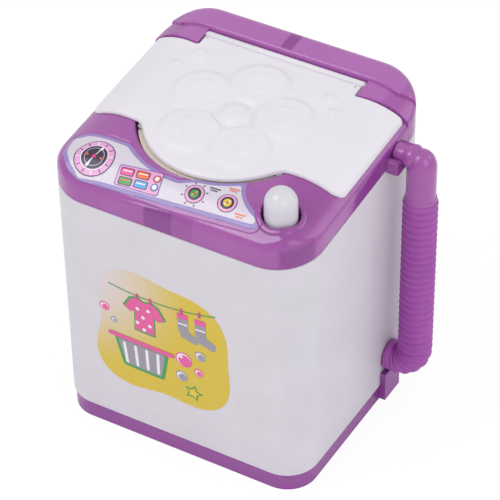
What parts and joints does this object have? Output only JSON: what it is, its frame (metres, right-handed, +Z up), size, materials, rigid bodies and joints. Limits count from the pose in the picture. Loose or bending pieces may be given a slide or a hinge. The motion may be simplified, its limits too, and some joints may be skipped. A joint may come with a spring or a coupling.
{
  "type": "toy washing machine",
  "caption": "Toy top-loading washing machine with a hinged lid, push button, turning impeller in a wash tub and a ribbed drain hose that swings down.",
  "frame": {"origin": "middle of the flat underside of the tray", "axes": "+X towards the drain hose, -Y out of the front with the label, +Z up"},
  "size_m": [0.126, 0.1016, 0.1362],
  "materials": {
    "white_body": "semi-gloss moulded plastic",
    "white_lid": "semi-gloss moulded plastic with a low relief",
    "white_button": "polished moulded plastic",
    "orchid_plastic": "translucent glossy plastic",
    "orchid_hose": "soft translucent glossy plastic",
    "cream_tub": "plain moulded plastic",
    "milky_tube": "soft milky tube",
    "control_film": "printed film label",
    "front_film": "printed film label",
    "black_rubber": "moulded seal rubber",
    "black_board": "switch board",
    "motor_nylon": "moulded nylon",
    "red_wire": "wire insulation",
    "black_wire": "wire insulation",
    "cell_jacket": "printed cell jacket",
    "nickel_steel": "nickel plated",
    "zinc_steel": "zinc plated",
    "bright_steel": "bright drawn",
    "copper_leaf": "bright copper alloy strip",
    "copper_winding": "varnished winding wire"
  },
  "bodies": {
    "cabinet": {"cabinet": "white_body", "base_tray": "orchid_plastic", "base_screws": "zinc_steel", "battery_door": "orchid_plastic", "door_screw": "zinc_steel", "battery_cells": "cell_jacket", "contact_plates": "nickel_steel", "battery_springs": "nickel_steel", "top_frame": "orchid_plastic", "frame_screws": "zinc_steel", "control_label": "control_film", "front_label": "front_film", "button_spring": "nickel_steel", "switch_base": "black_board", "switch_contact": "copper_leaf", "switch_screws": "zinc_steel", "wash_tub": "cream_tub", "tub_screws": "zinc_steel", "shaft_seal": "black_rubber", "motor_can": "bright_steel", "motor_cap": "motor_nylon", "motor_bracket": "nickel_steel", "bracket_screws": "zinc_steel", "drain_pipe": "milky_tube", "outlet_spigot": "orchid_plastic", "hose_bend": "orchid_hose", "battery_wire": "black_wire", "switch_wire": "red_wire", "motor_wire": "red_wire"},
    "lid": {"lid": "white_lid"},
    "button": {"power_button": "white_button"},
    "pulsator": {"impeller": "white_button", "motor_shaft": "bright_steel", "motor_rotor": "copper_winding"},
    "hose": {"drain_hose": "orchid_hose", "hose_elbow": "orchid_plastic"}
  },
  "joints": [
    {"name": "lid_hinge", "type": "hinge", "parent": "cabinet", "child": "lid", "pos_m": [0, 0.03565, 0.13235], "axis": [-1, 0, 0], "range_deg": [0, 100]},
    {"name": "button_press", "type": "slide", "parent": "cabinet", "child": "button", "axis": [0, 0, -1], "range_m": [0, 0.0024], "stiffness_N_per_m": 150, "springref_m": -0.002, "deforming": ["button_spring"]},
    {"name": "impeller_spin", "type": "hinge", "parent": "cabinet", "child": "pulsator", "pos_m": [0, -0.0031, 0.0542], "axis": [0, 0, 1], "continuous": true},
    {"name": "hose_swing", "type": "hinge", "parent": "cabinet", "child": "hose", "pos_m": [0.06328, 0.0216, 0.02272], "axis": [0, 1, 0], "range_deg": [0, 90], "deforming": ["hose_bend"]}
  ]
}
